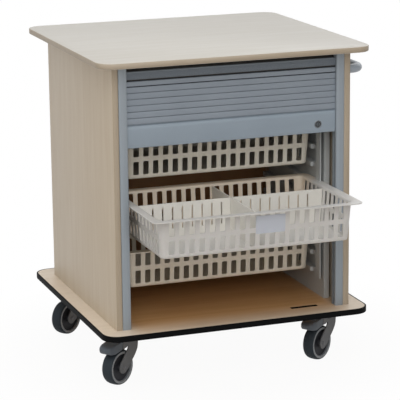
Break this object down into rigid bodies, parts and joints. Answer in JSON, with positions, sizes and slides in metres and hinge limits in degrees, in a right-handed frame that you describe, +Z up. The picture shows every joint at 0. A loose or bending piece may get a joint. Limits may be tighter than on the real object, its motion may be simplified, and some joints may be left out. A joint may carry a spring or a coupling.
{
  "type": "mobile tray storage unit",
  "caption": "Wheeled classroom storage unit: wooden carcass with a roller shutter, perforated baskets on side runners, a push handle on one side and swivel castors with foot brakes.",
  "frame": {"origin": "on the floor under the middle of the whole box, at the pictured pose", "axes": "+Z up, +X towards the push handle, the front with the shutter and baskets towards -Y"},
  "size_m": [0.8004, 0.888, 0.91],
  "materials": {
    "maple_laminate": "maple-grain laminate on board, satin",
    "black_edge_band": "black edge banding, matt",
    "silver_post": "anodised extrusion, satin",
    "shutter_plastic": "silver-grey slats, satin",
    "liner_plastic": "mid grey, matt",
    "basket_plastic": "cream moulding, semi-gloss",
    "lock_steel": "nickelled lock face",
    "handle_grey": "grey coated tube",
    "castor_housing": "grey castor housing",
    "tyre_rubber": "dark grey tread",
    "wheel_centre": "grey wheel centre",
    "zinc_steel": "bright zinc plate"
  },
  "bodies": {
    "carcass": {"top_board": "maple_laminate", "base_board": "maple_laminate", "left_panel": "maple_laminate", "right_panel": "maple_laminate", "back_panel": "maple_laminate", "inner_back": "maple_laminate", "base_edge_band": "black_edge_band", "left_post": "silver_post", "right_post": "silver_post", "stored_slat_curtain": "shutter_plastic", "left_shutter_track": "liner_plastic", "right_shutter_track": "liner_plastic", "right_liner": "liner_plastic", "left_liner": "liner_plastic", "push_handle": "handle_grey", "handle_front_flange": "handle_grey", "handle_rear_flange": "handle_grey", "front_left_castor_plate": "zinc_steel", "front_right_castor_plate": "zinc_steel", "rear_left_castor_plate": "zinc_steel", "rear_right_castor_plate": "zinc_steel"},
    "shutter": {"shutter_rail": "shutter_plastic", "shutter_slat_1": "shutter_plastic", "shutter_slat_2": "shutter_plastic", "shutter_slat_3": "shutter_plastic", "shutter_slat_4": "shutter_plastic", "shutter_slat_5": "shutter_plastic", "shutter_slat_6": "shutter_plastic", "shutter_slat_7": "shutter_plastic"},
    "shutter_lock": {"lock_barrel": "lock_steel"},
    "upper_tray": {"upper_basket": "basket_plastic"},
    "middle_tray": {"middle_basket": "basket_plastic", "cross_divider": "basket_plastic", "long_divider": "basket_plastic"},
    "lower_tray": {"lower_basket": "basket_plastic"},
    "front_left_castor": {"front_left_castor_fork": "castor_housing", "front_left_axle": "zinc_steel"},
    "front_left_wheel": {"front_left_wheel_hub": "wheel_centre", "front_left_tyre": "tyre_rubber"},
    "front_left_pedal": {"front_left_brake_pedal": "castor_housing"},
    "front_right_castor": {"front_right_castor_fork": "castor_housing", "front_right_axle": "zinc_steel"},
    "front_right_wheel": {"front_right_wheel_hub": "wheel_centre", "front_right_tyre": "tyre_rubber"},
    "front_right_pedal": {"front_right_brake_pedal": "castor_housing"},
    "rear_left_castor": {"rear_left_castor_fork": "castor_housing", "rear_left_axle": "zinc_steel"},
    "rear_left_wheel": {"rear_left_wheel_hub": "wheel_centre", "rear_left_tyre": "tyre_rubber"},
    "rear_right_castor": {"rear_right_castor_fork": "castor_housing", "rear_right_axle": "zinc_steel"},
    "rear_right_wheel": {"rear_right_wheel_hub": "wheel_centre", "rear_right_tyre": "tyre_rubber"}
  },
  "joints": [
    {"name": "shutter_slide", "type": "slide", "parent": "carcass", "child": "shutter", "axis": [0, 0, 1], "range_m": [-0.145, 0], "deforming": ["stored_slat_curtain"]},
    {"name": "lock_turn", "type": "hinge", "parent": "shutter", "child": "shutter_lock", "pos_m": [0.24175, -0.237, 0.692], "axis": [0, 1, 0], "range_deg": [-90, 0]},
    {"name": "upper_tray_slide", "type": "slide", "parent": "carcass", "child": "upper_tray", "axis": [0, -1, 0], "range_m": [0, 0.3]},
    {"name": "middle_tray_slide", "type": "slide", "parent": "carcass", "child": "middle_tray", "axis": [0, -1, 0], "range_m": [-0.289, 0.011]},
    {"name": "lower_tray_slide", "type": "slide", "parent": "carcass", "child": "lower_tray", "axis": [0, -1, 0], "range_m": [0, 0.3]},
    {"name": "front_left_swivel", "type": "hinge", "parent": "carcass", "child": "front_left_castor", "pos_m": [-0.30825, -0.18, 0.14], "axis": [0, 0, 1], "continuous": true},
    {"name": "front_left_roll", "type": "hinge", "parent": "front_left_castor", "child": "front_left_wheel", "pos_m": [-0.34012, -0.2007, 0.05], "axis": [-0.5446, 0.8387, 0], "continuous": true},
    {"name": "front_left_brake", "type": "hinge", "parent": "front_left_castor", "child": "front_left_pedal", "pos_m": [-0.33618, -0.19814, 0.118], "axis": [0.5446, -0.8387, 0], "range_deg": [0, 10]},
    {"name": "front_right_swivel", "type": "hinge", "parent": "carcass", "child": "front_right_castor", "pos_m": [0.28975, -0.18, 0.14], "axis": [0, 0, 1], "continuous": true},
    {"name": "front_right_roll", "type": "hinge", "parent": "front_right_castor", "child": "front_right_wheel", "pos_m": [0.25788, -0.2007, 0.05], "axis": [-0.5446, 0.8387, 0], "continuous": true},
    {"name": "front_right_brake", "type": "hinge", "parent": "front_right_castor", "child": "front_right_pedal", "pos_m": [0.26182, -0.19814, 0.118], "axis": [0.5446, -0.8387, 0], "range_deg": [0, 10]},
    {"name": "rear_left_swivel", "type": "hinge", "parent": "carcass", "child": "rear_left_castor", "pos_m": [-0.30825, 0.324, 0.14], "axis": [0, 0, 1], "continuous": true},
    {"name": "rear_left_roll", "type": "hinge", "parent": "rear_left_castor", "child": "rear_left_wheel", "pos_m": [-0.34012, 0.3033, 0.05], "axis": [-0.5446, 0.8387, 0], "continuous": true},
    {"name": "rear_right_swivel", "type": "hinge", "parent": "carcass", "child": "rear_right_castor", "pos_m": [0.28975, 0.324, 0.14], "axis": [0, 0, 1], "continuous": true},
    {"name": "rear_right_roll", "type": "hinge", "parent": "rear_right_castor", "child": "rear_right_wheel", "pos_m": [0.25788, 0.3033, 0.05], "axis": [-0.5446, 0.8387, 0], "continuous": true}
  ]
}
